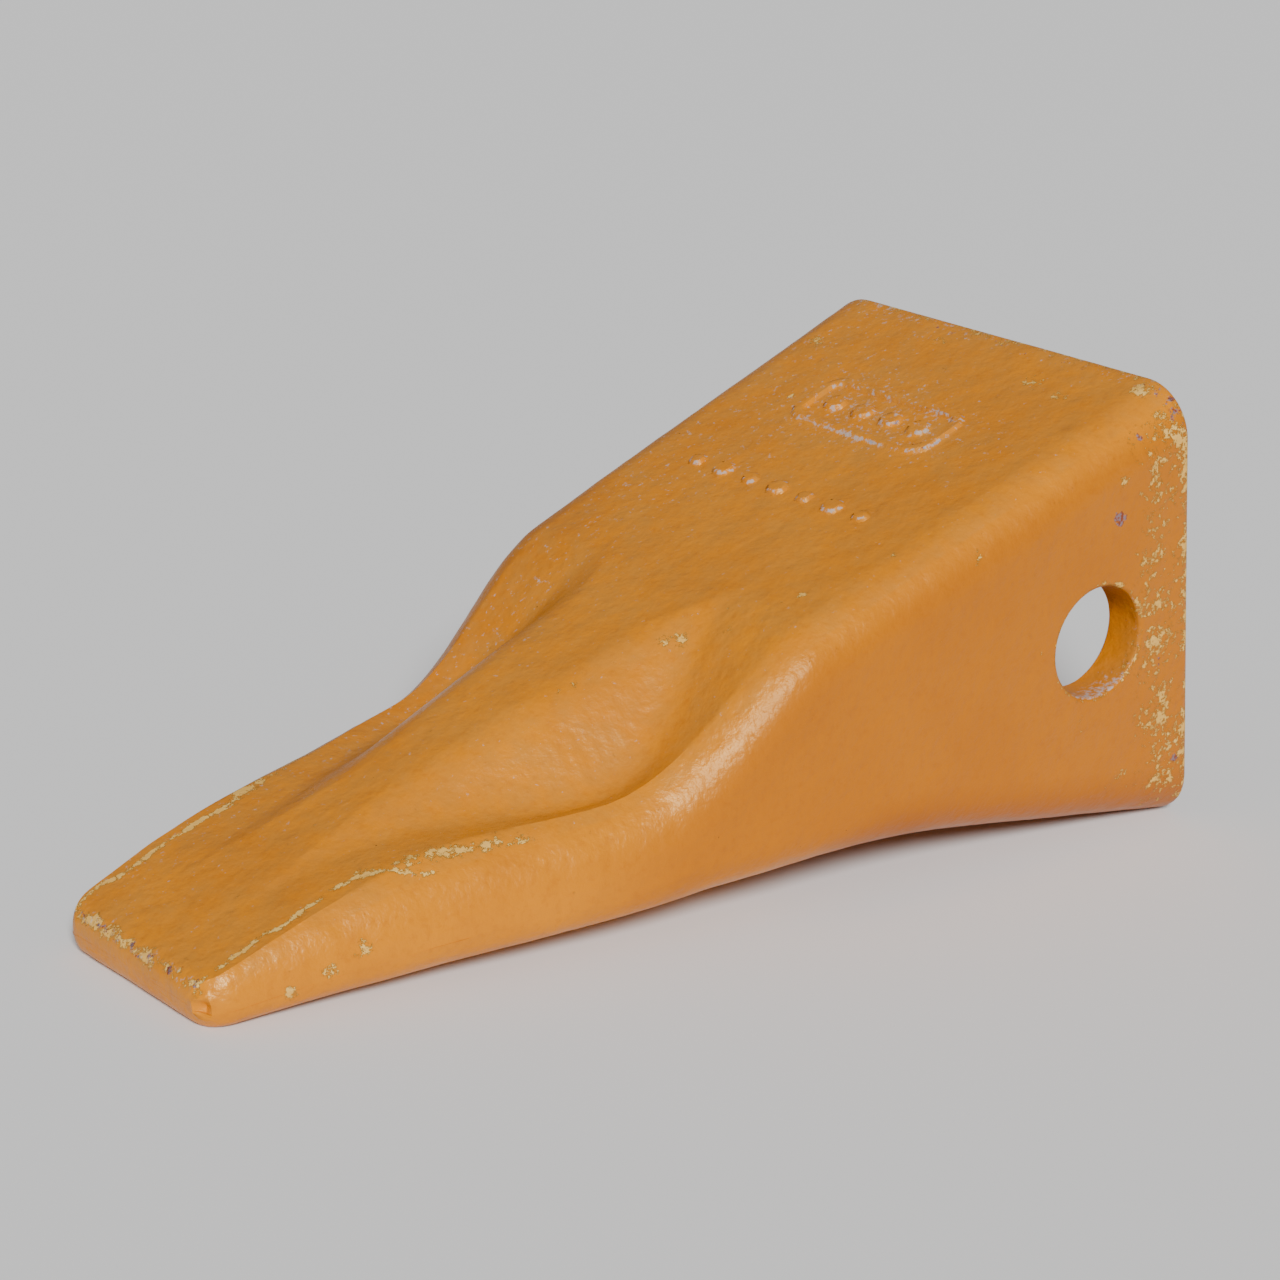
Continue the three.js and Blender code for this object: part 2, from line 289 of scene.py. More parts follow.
def socket_rings(x, half_y, half_z, radius):
    """Rounded rectangles, one per row, with as many points as the skin's sections."""
    flat = np.concatenate([[0], steps(0, 1, BOTTOM_STEPS)])[None]
    bottom_y = (half_y - radius) * flat
    bottom_z = -half_z + 0 * bottom_y
    angle = steps(0, math.pi / 2, FOOT_STEPS)[None]
    foot_y = half_y - radius + radius * np.sin(angle)
    foot_z = -half_z + radius - radius * np.cos(angle)
    side_z = (half_z - radius) * (2 * steps(0, 1, SIDE_STEPS) - 1)[None]
    side_y = half_y + 0 * side_z
    angle = steps(0, math.pi / 2, SHOULDER_STEPS)[None]
    corner_y = half_y - radius + radius * np.cos(angle)
    corner_z = half_z - radius + radius * np.sin(angle)
    top_y = (half_y - radius) * (1 - steps(0, 1, TOP_STEPS))[None]
    top_z = half_z + 0 * top_y
    y = np.concatenate([bottom_y, foot_y, side_y, corner_y, top_y], axis=1)
    z = np.concatenate([bottom_z, foot_z, side_z, corner_z, top_z], axis=1)
    y, z = close_ring(y, z)
    return np.stack([np.broadcast_to(x, y.shape), y, z], axis=-1)


def socket_half_width(x):
    return REAR_WIDTH / 2 - WALL - SIDE_TAPER * x


def socket_half_height(x):
    taper = line(x, 0, SOCKET_HALF_HEIGHT, SOCKET_NOSE_START, SOCKET_NOSE_HALF_HEIGHT)
    end = SOCKET_NOSE_HALF_HEIGHT - SOCKET_DRAFT
    nose = line(x, SOCKET_NOSE_START, SOCKET_NOSE_HALF_HEIGHT, SOCKET_DEPTH, end)
    return smooth_max(taper, nose, SOCKET_BLEND)


MOUTH_RINGS = (0.35, 0.9, 1.6, 2.3)


def socket_wall():
    """Rings from the rear rim's face into the socket, down to its end, with more at the mouth."""
    mouth = MOUTH_CHAMFER + MOUTH_ROUND
    end = SOCKET_DEPTH - SOCKET_END_RADIUS
    depth = np.concatenate([
        [0, *MOUTH_RINGS, MOUTH_CHAMFER, mouth],
        steps(mouth, SOCKET_NOSE_START, 12),
        steps(SOCKET_NOSE_START, end, 4),
        end + SOCKET_END_RADIUS * np.sin(steps(0, math.pi / 2, 5)),
    ])[:, None]
    flare = np.clip(MOUTH_CHAMFER - depth, 0, None) + edge_inset(depth, MOUTH_ROUND) * MOUTH_ROUND_FLARE
    end_round = edge_inset(SOCKET_DEPTH - depth, SOCKET_END_RADIUS)
    corner = line(depth, 0, SOCKET_CORNER_REAR, SOCKET_DEPTH, SOCKET_CORNER_FRONT)
    return socket_rings(
        depth,
        socket_half_width(depth) + flare - end_round,
        socket_half_height(depth) + flare - end_round,
        corner + flare - SOCKET_END_SQUARING * end_round,
    )


def shrink(ring, shares):
    """Copies of a ring drawn in towards its middle."""
    middle = ring.mean(axis=0)
    return np.stack([middle + (ring - middle) * share for share in shares])


# ---- The casting's surface relief ----

MARK_HEIGHT = 1.4
MARK_EDGE = 0.8
MARKS_END = 125
# The frame's middle, half sizes, corner radius and line width
FRAME_X, FRAME_Y, FRAME_HALF_X, FRAME_HALF_Y, FRAME_CORNER, FRAME_LINE = 57, -4, 11, 30, 6, 1.5
PIP_SPACING = 13
FRAMED_PIPS, FRAMED_PIP_RADIUS = 4, 3.4
ROW_PIPS, ROW_X, ROW_START_Y, ROW_PIP_RADII = 7, 103, -42, (2.2, 3)


def foundry_marks(x, y):
    """Height from 0 to 1 of raised round pips on the top, four of them in a rounded frame."""
    over_x, over_y = np.abs(x - FRAME_X) - FRAME_HALF_X, np.abs(y - FRAME_Y) - FRAME_HALF_Y
    dx, dy = np.maximum(over_x + FRAME_CORNER, 0), np.maximum(over_y + FRAME_CORNER, 0)
    beside_corner = np.abs(np.hypot(dx, dy) - FRAME_CORNER)
    from_rim = np.where(dx * dy > 0, beside_corner, np.abs(np.maximum(over_x, over_y)))
    height = smoothstep((FRAME_LINE + MARK_EDGE - from_rim) / MARK_EDGE)
    first_y = FRAME_Y - PIP_SPACING * (FRAMED_PIPS - 1) / 2
    pips = [(FRAME_X, first_y + PIP_SPACING * k, FRAMED_PIP_RADIUS) for k in range(FRAMED_PIPS)]
    pips += [(ROW_X, ROW_START_Y + PIP_SPACING * k, ROW_PIP_RADII[k % 2]) for k in range(ROW_PIPS)]
    for pip_x, pip_y, radius in pips:
        distance = np.hypot(x - pip_x, y - pip_y)
        height = np.maximum(height, smoothstep((radius + MARK_EDGE - distance) / MARK_EDGE))
    return height


# Height, size of features and seed of each layer of waviness
CAST_LAYERS = [(0.32, 46, 3), (0.16, 19, 5), (0.07, 7, 7), (0.05, 3.2, 9)]
SOCKET_LAYERS = [(-0.25, 9, 21), (-0.4, 30, 22)]
RIPPLE_WOBBLE = [(1.6, 9, 31)]
RIPPLE_HEIGHT = 0.16
RIPPLE_TURN_PER_MM = 1.15
RIPPLE_MIDDLE, RIPPLE_STRETCH = (262, 14), 0.8
RIPPLE_BAND, RIPPLE_BAND_WIDTHS = (222, 38), (24, 13)
CRATER_PLACE = np.array([359, 35, -24])
CRATER_RING_HEIGHT, CRATER_RING_RADIUS, CRATER_RING_WIDTH = 0.9, 3.2, 1
CRATER_DEPTH, CRATER_PIT_WIDTH = 1.6, 2


def waviness(points, layers):
    """The sum of noises, each given by its height, the size of its features and its seed."""
    return sum(height * value_noise(points, size, seed) for height, size, seed in layers)


def ripples(points):
    """Faint curved flow lines on the scoops' floors, round a middle near the tongue."""
    x, y = points[:, 0], np.abs(points[:, 1])
    distance = np.hypot(x - RIPPLE_MIDDLE[0], RIPPLE_STRETCH * (y - RIPPLE_MIDDLE[1]))
    band = falloff(x - RIPPLE_BAND[0], RIPPLE_BAND_WIDTHS[0])
    band = band * falloff(y - RIPPLE_BAND[1], RIPPLE_BAND_WIDTHS[1])
    return band * np.sin(distance * RIPPLE_TURN_PER_MM + waviness(points, RIPPLE_WOBBLE))


def crater(points):
    """A small casting flaw on the near front corner: a raised ring round a pit."""
    distance = np.linalg.norm(points - CRATER_PLACE, axis=1)
    ring = CRATER_RING_HEIGHT * falloff(distance - CRATER_RING_RADIUS, CRATER_RING_WIDTH)
    return ring - CRATER_DEPTH * falloff(distance, CRATER_PIT_WIDTH)


def outer_relief(points):
    """How far the cast surface stands off its true form, in millimetres."""
    x, y, z = points.T
    on_top = z > top_surface(x, y) - 3
    flow = RIPPLE_HEIGHT * ripples(points) * on_top
    marked = (z > top_plane(x) - 6) & (x < MARKS_END)
    marks = MARK_HEIGHT * foundry_marks(x, y) * marked
    return waviness(points, CAST_LAYERS) + flow + crater(points) + marks


def socket_relief(points):
    return waviness(points, SOCKET_LAYERS)


def grid_normals(rings):
    """Unit normals at the rings' points, away from the tooth's axis."""
    along = np.gradient(rings, axis=0)
    around = np.roll(rings, -1, axis=1) - np.roll(rings, 1, axis=1)
    normal = np.cross(around, along)
    length = np.linalg.norm(normal, axis=-1, keepdims=True)
    return normal / np.maximum(length, 1e-9)


def raised(rings, relief, calm_length):
    """Rings with a relief on them that fades out towards the rear rim."""
    height = relief(rings.reshape(-1, 3)).reshape(rings.shape[:2])
    height = height * smoothstep(rings[..., 0] / calm_length)
    return rings + grid_normals(rings) * height[..., None]


REAR_EDGE_RINGS = (0.35, 0.9, 1.8)
# The sections lie closest together under the raised marks
MARK_STATIONS_START, MARK_STATIONS_END = 42, 114


def skin_stations():
    """Where along the tooth its skin has a section."""
    scoop_end = SCOOP_START + SCOOP_RUN
    nose = LENGTH - TIP_CORNER_RADIUS
    return np.concatenate([
        [0, *REAR_EDGE_RINGS, REAR_EDGE_RADIUS],
        steps(REAR_EDGE_RADIUS, MARK_STATIONS_START, 20),
        steps(MARK_STATIONS_START, MARK_STATIONS_END, 80),
        steps(MARK_STATIONS_END, SCOOP_START, 19),
        steps(SCOOP_START, scoop_end, 48),
        steps(scoop_end, nose, 62),
        nose + TIP_CORNER_RADIUS * np.sin(steps(0, math.pi / 2, 9)),
    ])


# Lengths from the rear rim over which the relief fades in
SKIN_CALM, SOCKET_CALM = 4, 8
# Sizes of the extra rings on the end faces, and where on the rim's width its rings lie
TIP_FACE_RINGS = (0.93, 0.8, 0.6, 0.35)
SOCKET_END_RINGS = (0.85, 0.6, 0.3)
RIM_RINGS = (0.25, 0.5, 0.75)


def casting_rings():
    """Rings from the socket's end out over the rear rim and along the skin to the tip's face."""
    skin = raised(skin_rings(skin_stations()), outer_relief, SKIN_CALM)
    tip_face = shrink(skin[-1], TIP_FACE_RINGS)
    socket = raised(socket_wall(), socket_relief, SOCKET_CALM)
    socket_end = shrink(socket[-1], SOCKET_END_RINGS)
    rim = np.stack([skin[0] * (1 - t) + socket[0] * t for t in RIM_RINGS])
    return np.concatenate([socket_end[::-1], socket[::-1], rim[::-1], skin, tip_face])


def casting_form():
    """Vertices in millimetres and faces of the casting, before its bores are cut."""
    rings = casting_rings()
    count = rings.shape[1]
    first, last = rings[0].mean(axis=0), rings[-1].mean(axis=0)
    vertices = np.concatenate([rings.reshape(-1, 3), [first, last]])
    row = np.arange(count)
    after = np.roll(row, -1)
    faces = []
    for i in range(len(rings) - 1):
        a, b = i * count + row, i * count + after
        faces.append(np.stack([a, b, b + count, a + count], axis=1))
    quads = np.concatenate(faces)
    centre = len(vertices) - 2
    start_fan = np.stack([np.full(count, centre), after, row], axis=1)
    base = (len(rings) - 1) * count
    end_fan = np.stack([np.full(count, centre + 1), base + row, base + after], axis=1)
    return vertices, quads, np.concatenate([start_fan, end_fan])


# ---- From the tooth's frame to the row's ----


def pitched(points):
    """Points turned about the Y axis by the angle at which the tooth lies."""
    x, y, z = points.T
    c, s = math.cos(PITCH), math.sin(PITCH)
    return np.stack([c * x + s * z, y, c * z - s * x], axis=1)


def casting_offset():
    """What moves the pitched casting, in millimetres, to where the CAD casting lies."""
    low, high = (np.array(corner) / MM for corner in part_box("tooth_casting"))
    outline = pitched(skin_rings(skin_stations()).reshape(-1, 3))
    middle_y = (low[1] + high[1]) / 2
    return np.array([low[0] - outline[:, 0].min(), middle_y, low[2] - outline[:, 2].min()])


OFFSET = casting_offset()


def to_row(points):
    return (pitched(points) + OFFSET) * MM


def to_tooth(points):
    """From metres in the row frame back to millimetres in the tooth's frame."""
    x, y, z = (points / MM - OFFSET).T
    c, s = math.cos(PITCH), math.sin(PITCH)
    return np.stack([c * x - s * z, y, s * x + c * z], axis=1)


# ---- Mesh helpers ----


def make_object(name, vertices, faces):
    mesh = bpy.data.meshes.new(name)
    mesh.from_pydata([tuple(v) for v in vertices], [], [tuple(int(i) for i in f) for f in faces])
    mesh.update()
    piece = bpy.data.objects.new(name, mesh)
    bpy.context.scene.collection.objects.link(piece)
    return piece


def mesh_points(piece):
    count = len(piece.data.vertices)
    points = np.empty(count * 3, dtype=np.float32)
    piece.data.vertices.foreach_get("co", points)
    return points.reshape(count, 3).astype(float)


def set_attribute(piece, name, values):
    attribute = piece.data.attributes.new(name, "FLOAT", "POINT")
    attribute.data.foreach_set("value", values.astype(np.float32))


def shade(piece, angle):
    """Smooth shading, with edges sharper than the angle in degrees kept sharp."""
    piece.data.polygons.foreach_set("use_smooth", [True] * len(piece.data.polygons))
    piece.data.set_sharp_from_angle(angle=math.radians(angle))
    piece.data.update()


def apply_modifiers(piece):
    graph = bpy.context.evaluated_depsgraph_get()
    mesh = bpy.data.meshes.new_from_object(piece.evaluated_get(graph))
    piece.modifiers.clear()
    piece.data = mesh


def lathe(profile, segments):
    """Vertices and faces of [radius, y] points turned about Y. Points on the axis close it."""
    vertices, rows = [], []
    for radius, y in profile:
        if radius < 1e-6:
            rows.append([len(vertices)] * segments)
            vertices.append((0, y, 0))
            continue
        rows.append(range(len(vertices), len(vertices) + segments))
        for k in range(segments):
            angle = 2 * math.pi * k / segments
            vertices.append((radius * math.sin(angle), y, radius * math.cos(angle)))
    faces = []
    for low, high in zip(rows, rows[1:]):
        for k in range(segments):
            j = (k + 1) % segments
            corners = [low[k], low[j], high[j], high[k]]
            faces.append(list(dict.fromkeys(corners)))
    return np.array(vertices, dtype=float), faces


def arc_points(centre, radius, start, end, count):
    angles = np.radians(np.linspace(start, end, count))
    return [(centre[0] + radius * math.cos(a), centre[1] + radius * math.sin(a)) for a in angles]


# ---- The casting ----


BORE_SEGMENTS = 128
CUTTER_REACH_IN, CUTTER_REACH_OUT, POCKET_CUTTER_LENGTH = 12, 8, 9
CASTING_SHARP_ANGLE, TURNED_SHARP_ANGLE = 32, 30


def cutter(profile, slant):
    """A lathed cutter on the bore's axis, its mouth slanted with the wall's taper."""
    vertices, faces = lathe(profile, BORE_SEGMENTS)
    vertices[:, 1] -= slant * SIDE_TAPER * vertices[:, 0]
    vertices[:, 0] += BORE_FROM_REAR
    return make_object("cutter", to_row(vertices), faces)


def bore_profile():
    """Through one wall, flared round at the outside and the inside, along +Y."""
    outer = REAR_WIDTH / 2 - SIDE_TAPER * BORE_FROM_REAR
    inner = socket_half_width(BORE_FROM_REAR)
    wide = BORE_RADIUS + BORE_EDGE
    mouth = arc_points((wide, outer - BORE_EDGE), BORE_EDGE, 180, 90, 7)
    throat_radius = BORE_RADIUS + BORE_INNER_EDGE
    throat = [(throat_radius, inner - 0.1), (BORE_RADIUS, inner + BORE_INNER_EDGE)]
    start = [(0, inner - CUTTER_REACH_IN), (throat_radius, inner - CUTTER_REACH_IN)]
    end = [(wide, outer + CUTTER_REACH_OUT), (0, outer + CUTTER_REACH_OUT)]
    return start + throat + mouth + end


def mirrored(profile):
    """A profile's mirror image along Y, with its points in the opposite order."""
    return [(radius, -y) for radius, y in reversed(profile)]


def pocket_profile():
    """The retainer's pocket in the far wall, round at its floor's edge."""
    floor = -socket_half_width(BORE_FROM_REAR) - POCKET_DEPTH
    top = floor + POCKET_CUTTER_LENGTH
    middle = (POCKET_RADIUS - POCKET_ROUND, floor + POCKET_ROUND)
    base = arc_points(middle, POCKET_ROUND, -90, 0, 4)
    return [(0, floor)] + base + [(POCKET_RADIUS, top), (0, top)]


def make_casting():
    vertices, quads, triangles = casting_form()
    piece = make_object("cast_tooth", to_row(vertices), [*quads, *triangles])
    tools = [
        cutter(bore_profile(), 1),
        cutter(mirrored(bore_profile()), -1),
        cutter(pocket_profile(), 0),
    ]
    for tool in tools:
        cut = piece.modifiers.new(tool.name, "BOOLEAN")
        cut.operation = "DIFFERENCE"
        cut.solver = "EXACT"
        cut.object = tool
    apply_modifiers(piece)
    for tool in tools:
        bpy.data.objects.remove(tool)
    shade(piece, CASTING_SHARP_ANGLE)
    return piece


casting = make_casting()

# ---- Wear, dust and painted shade on the casting, stored at its vertices ----

CREASE_LINE = [(361, 33), (334, 33.5), (302, 33.5), (285, 45), (268, 57)]
RIDGE_LINE = [(302, 33.5), (262, 47), (240, 58)]


def distance_to_line(x, y, corners):
    """Distance from each point to a line of straight runs between corners."""
    best = np.full_like(x, 1e9)
    for (x0, y0), (x1, y1) in zip(corners, corners[1:]):
        dx, dy = x1 - x0, y1 - y0
        t = np.clip(((x - x0) * dx + (y - y0) * dy) / (dx * dx + dy * dy), 0, 1)
        best = np.minimum(best, np.hypot(x - x0 - t * dx, y - y0 - t * dy))
    return best


# Patches of lost paint: x, z on the near side, radius and strength
SIDE_PATCHES = [
    (6, 62, 7, 0.55), (12, 33, 5, 0.5), (22, 20, 3, 0.5), (18, -6, 5, 0.55), (10, -46, 8, 0.55),
    (32, -50, 6, 0.42), (50, -25, 5, 0.5), (68, 4, 4, 0.45), (30, 52, 4, 0.42), (9, 5, 5, 0.5),
    (312, -19, 4, 0.5), (322, -22, 5, 0.5), (335, -25, 4, 0.48), (160, 30, 5, 0.42),
    (92, 44, 4, 0.42),
]
RUST_PATCHES = [(32.5, 40, 4, 0.75), (14, -14, 3, 0.6), (7, -52, 4, 0.6), (20, 64, 3, 0.5)]
# Scuffs on the top: x, y, radius and strength
TOP_PATCHES = [
    (173, 29, 3.5, 0.5), (177, 25, 3, 0.5), (208, 19, 3, 0.5), (213, 18, 2.5, 0.45),
    (163, 40, 3, 0.45), (143, 51, 3, 0.5), (148, 49, 2.5, 0.45), (114, 62, 3, 0.45),
    (18, 30, 7, 0.48), (22, 46, 6, 0.46), (12, -20, 6, 0.46), (30, -62, 6, 0.45), (8, 68, 6, 0.55),
    (60, -43, 3, 0.6),
]
CHIPS_ANYWHERE = 0.16
# Height, size and seed of the noise that makes the crease's chipped line wander
CHIP_DRIFT = [(2.2, 13, 41), (0.8, 4, 43)]
# The socket's paint reaches this far past its true wall
SOCKET_MARGIN = 2.5


def spots(u, v, patches):
    """How strongly each point lies in one of the round patches."""
    total = np.zeros_like(u)
    for cu, cv, radius, strength in patches:
        total = np.maximum(total, strength * falloff(np.hypot(u - cu, v - cv), radius))
    return total


def strongest(*regions):
    return np.maximum.reduce(np.broadcast_arrays(*regions))


class Places:
    """Which part of the casting each point is on."""

    def __init__(self, points):
        x, y, z = points.T
        self.points, self.x, self.y, self.z = points, x, y, z
        self.side = np.abs(y) > half_width(x) - 6
        self.upward = z > top_surface(x, y) - 4
        self.from_front_edge = np.hypot(LENGTH - 1 - x, z - (scoop_surface(LENGTH) + 1))
        self.from_bore = np.hypot(x - BORE_FROM_REAR, z)
        marks = foundry_marks(x, y) * (x < MARKS_END) * self.upward
        self.beside_mark = 4 * marks * (1 - marks)


# Each region below has a strength from 0 to 1 and widths in millimetres, all given


def lost_paint(at):
    """Chips along the scoop's crease and ridge, the front and rear edges and the bore's rim."""
    drift = waviness(at.points, CHIP_DRIFT)
    crease = distance_to_line(at.x, np.abs(at.y) + drift, CREASE_LINE)
    ridge = distance_to_line(at.x, np.abs(at.y), RIDGE_LINE)
    rear_side = at.side * (at.z > -70)
    more_on_near_side = 0.75 + 0.25 * (at.y > 0)
    return strongest(
        CHIPS_ANYWHERE,
        0.57 * falloff(crease, 2.2) * at.upward * (at.x > 258),
        0.46 * falloff(ridge, 4.5) * at.upward,
        0.56 * falloff(at.from_front_edge, 4.5),
        0.5 * falloff(at.x, 9) * rear_side,
        0.4 * falloff(at.x - 14, 18) * rear_side,
        0.44 * falloff(at.x, 7) * at.upward,
        spots(at.x, at.z, SIDE_PATCHES) * at.side * more_on_near_side,
        spots(at.x, at.y, TOP_PATCHES) * at.upward,
        0.4 * falloff(at.from_bore - BORE_RADIUS - 1, 1.6) * (np.abs(at.y) > 60),
    )


def rust(at):
    """Rusty patches on the sides, at the tip and upper rear edges and round the framed pips."""
    return strongest(
        spots(at.x, at.z, RUST_PATCHES) * at.side,
        0.5 * falloff(at.from_front_edge, 5),
        0.5 * falloff(np.hypot(at.x - 3, at.z - 70), 9),
        0.62 * at.beside_mark * (at.y > 2) * (at.x < 80),
    )


def dust(at):
    """Grey dust on the top, round the marks, on the front edge and low in the bores."""
    round_frame = falloff(at.x - FRAME_X, 22) * falloff(at.y - 5, 40)
    far_top = smoothstep((20 - at.y) / 70) * smoothstep((at.x + 40) / 60)
    bore_wall = (at.from_bore < BORE_RADIUS + 0.6) * (np.abs(at.y) > 55)
    return strongest(
        (0.33 + 0.14 * round_frame + 0.07 * far_top + 0.1 * falloff(at.x, 9)) * at.upward,
        0.22 * (at.y < 0) * smoothstep((at.x - 150) / 60),
        0.85 * at.beside_mark,
        0.5 * falloff(at.from_front_edge, 6),
        bore_wall * (0.42 + 0.2 * smoothstep((-at.z - 12) / 6)),
    )


def painted_shade(at):
    """Painted shade: the paint darker on the sides, most of all low down, and on the far shoulder,
    turned from the key light.
    """
    above_edge = at.z - underside(at.x)
    side_face = smoothstep((np.abs(at.y) - half_width(at.x) + 6) / 6)
    return strongest(
        smoothstep((42 - above_edge) / 42) * smoothstep((150 - at.x) / 60 + 0.6),
        0.55 * side_face * smoothstep((262 - at.x) / 70),
        0.4 * smoothstep((-at.y - 36) / 22) * smoothstep((at.x - 110) / 40),
    )


def inside_share(at):
    """1 on the socket's walls and 0 outside."""
    deep = (at.x > 2) & (at.x < SOCKET_DEPTH + 1)
    within_y = np.abs(at.y) < socket_half_width(at.x) + SOCKET_MARGIN
    within_z = np.abs(at.z) < socket_half_height(at.x) + SOCKET_MARGIN
    return (deep & within_y & within_z).astype(float)


def add_wear(piece):
    at = Places(to_tooth(mesh_points(piece)))
    inside = inside_share(at)
    set_attribute(piece, "chips", lost_paint(at) * (1 - inside))
    set_attribute(piece, "rust", np.clip(rust(at), 0, 1) * (1 - inside))
    set_attribute(piece, "dust", np.clip(dust(at), 0, 1) * (1 - 0.5 * inside))
    # The low attribute holds painted shade: darker on the sides, low down and on the far shoulder
    set_attribute(piece, "low", painted_shade(at))
    set_attribute(piece, "inside", inside)


add_wear(casting)

# ---- Lock pin, retainer and its spring, each turned about the bore's axis ----

PIN_RADIUS = 17.5
PIN_LENGTH = 157
PIN_CHAMFER = 3.3
PIN_GROOVE_DEPTH = 1.8
PIN_GROOVE_WIDTH = 6.6
PIN_WITHDRAWN = 48
# The centre drilling in the pin's ends: radius and depth of each ring
PIN_DRILLING = [(0, 2.6), (1.2, 2.2), (3.1, 0.3), (3.8, 0)]
PIN_ROUND_END, PIN_ROUND_SIDE = 0.6, 0.8
PIN_BODY_RINGS = 30
RETAINER_RADIUS = 28.4
RETAINER_BORE = 19.8
RETAINER_WIDTH = 13
RETAINER_OUTER_ROUND, RETAINER_INNER_ROUND, RETAINER_SLOT_ROUND = 1.5, 0.8, 0.4
SPRING_GROOVE_RADIUS = 24.2
SPRING_GROOVE_WIDTH = 5.5
SPRING_OUTER = 23.8
SPRING_INNER = 18
SPRING_WIDTH = 4.8
SPRING_ROUND = 0.7
SPRING_GAP_ANGLE = 50
SPRING_END_TAPER, SPRING_END_STEPS = 0.35, 4
SEAT_GAP = 0.3
RETAINER_SEAT = socket_half_width(BORE_FROM_REAR) + POCKET_DEPTH - SEAT_GAP - RETAINER_WIDTH / 2


def on_axis(name, vertices, faces, along_y):
    """A piece given round the Y axis, set on the bore's axis."""
    placed = np.array(vertices, dtype=float) + np.array([BORE_FROM_REAR, along_y, 0])
    return make_object(name, to_row(placed), faces)


def pin_profile():
    """From one end's middle to the other's, with the groove near the first end."""
    end = PIN_LENGTH / 2
    shoulder = PIN_RADIUS - PIN_CHAMFER
    groove, half = -RETAINER_SEAT, PIN_GROOVE_WIDTH / 2
    floor = PIN_RADIUS - PIN_GROOVE_DEPTH
    start = [(radius, depth - end) for radius, depth in PIN_DRILLING]
    middle = (shoulder - PIN_ROUND_END, -end + PIN_ROUND_END)
    start += arc_points(middle, PIN_ROUND_END, -90, -45, 4)
    middle = (PIN_RADIUS - PIN_ROUND_SIDE, -end + PIN_CHAMFER + 0.4)
    start += arc_points(middle, PIN_ROUND_SIDE, -45, 0, 4)
    slope = PIN_GROOVE_DEPTH
    dip = [
        (PIN_RADIUS, groove - half - 0.3), (PIN_RADIUS - 0.15, groove - half + 0.15),
        (floor + 0.25, groove - half + slope - 0.3), (floor, groove - half + slope + 0.3),
        (floor, groove + half - slope - 0.3), (floor + 0.25, groove + half - slope + 0.3),
        (PIN_RADIUS - 0.15, groove + half - 0.15), (PIN_RADIUS, groove + half + 0.3),
    ]
    along = np.linspace(groove + half + 4, end - PIN_CHAMFER - 1.2, PIN_BODY_RINGS)
    body = [(PIN_RADIUS, y) for y in along]
    return start + dip + body + mirrored(start)


def retainer_profile():
    """The rubber ring's section: a slot for the spring inside and a shallow groove outside."""
    side, slot = RETAINER_WIDTH / 2, SPRING_GROOVE_WIDTH / 2
    outer, inner, deep = RETAINER_RADIUS, RETAINER_BORE, SPRING_GROOVE_RADIUS
    edge = RETAINER_OUTER_ROUND
    half = arc_points((outer - edge, side - edge), edge, 0, 90, 8)
    edge = RETAINER_INNER_ROUND
    half += arc_points((inner + edge, side - edge), edge, 90, 180, 6)
    edge = RETAINER_SLOT_ROUND
    half += arc_points((inner + edge, slot + edge), edge, 180, 270, 4)
    half += [(deep - 0.5, slot), (deep, slot - 0.4)]
    groove = [(outer, -2.2), (outer - 0.7, -1.7), (outer - 0.7, 1.7), (outer, 2.2)]
    return half + mirrored(half) + groove


def closed_lathe(profile, segments):
    """A lathed ring whose profile closes on itself, clear of the axis."""
    vertices, faces = lathe(profile, segments)
    count = len(profile)
    for k in range(segments):
        j = (k + 1) % segments
        last = (count - 1) * segments
        faces.append([last + k, last + j, j, k])
    return vertices, faces


def spring_sweep(steps_round):
    """A flat ring with round edges and narrowed ends, open at the bottom."""
    radius = (SPRING_OUTER + SPRING_INNER) / 2
    half_r, half_y = (SPRING_OUTER - SPRING_INNER) / 2, SPRING_WIDTH / 2
    section = []
    for cx, cy, start in ((1, 1, 0), (-1, 1, 90), (-1, -1, 180), (1, -1, 270)):
        centre = (cx * (half_r - SPRING_ROUND), cy * (half_y - SPRING_ROUND))
        section += arc_points(centre, SPRING_ROUND, start, start + 90, 5)
    section = np.array(section)
    gap = SPRING_GAP_ANGLE / 2
    turns = np.radians(np.linspace(gap, 360 - gap, steps_round))
    rings = []
    for i, turn in enumerate(turns):
        to_end = min(i, steps_round - 1 - i)
        tuck = 1 - SPRING_END_TAPER * (1 - min(to_end / SPRING_END_STEPS, 1)) ** 2
        r = radius + section[:, 0] * tuck
        y = section[:, 1] * tuck
        rings.append(np.stack([r * np.sin(turn), y, -r * np.cos(turn)], axis=1))
    rings = np.array(rings)
    count = len(section)
    faces = [list(range(count))[::-1], [(steps_round - 1) * count + k for k in range(count)]]
    for i in range(steps_round - 1):
        for k in range(count):
            j = (k + 1) % count
            faces.append([i * count + k, i * count + j, (i + 1) * count + j, (i + 1) * count + k])
    return rings.reshape(-1, 3), faces


def face_outwards(piece):
    """Turns all the faces' normals outwards."""
    shape = bmesh.new()
    shape.from_mesh(piece.data)
    bmesh.ops.recalc_face_normals(shape, faces=shape.faces)
    shape.to_mesh(piece.data)
    shape.free()


LATHE_SEGMENTS = 96
SPRING_STEPS = 120

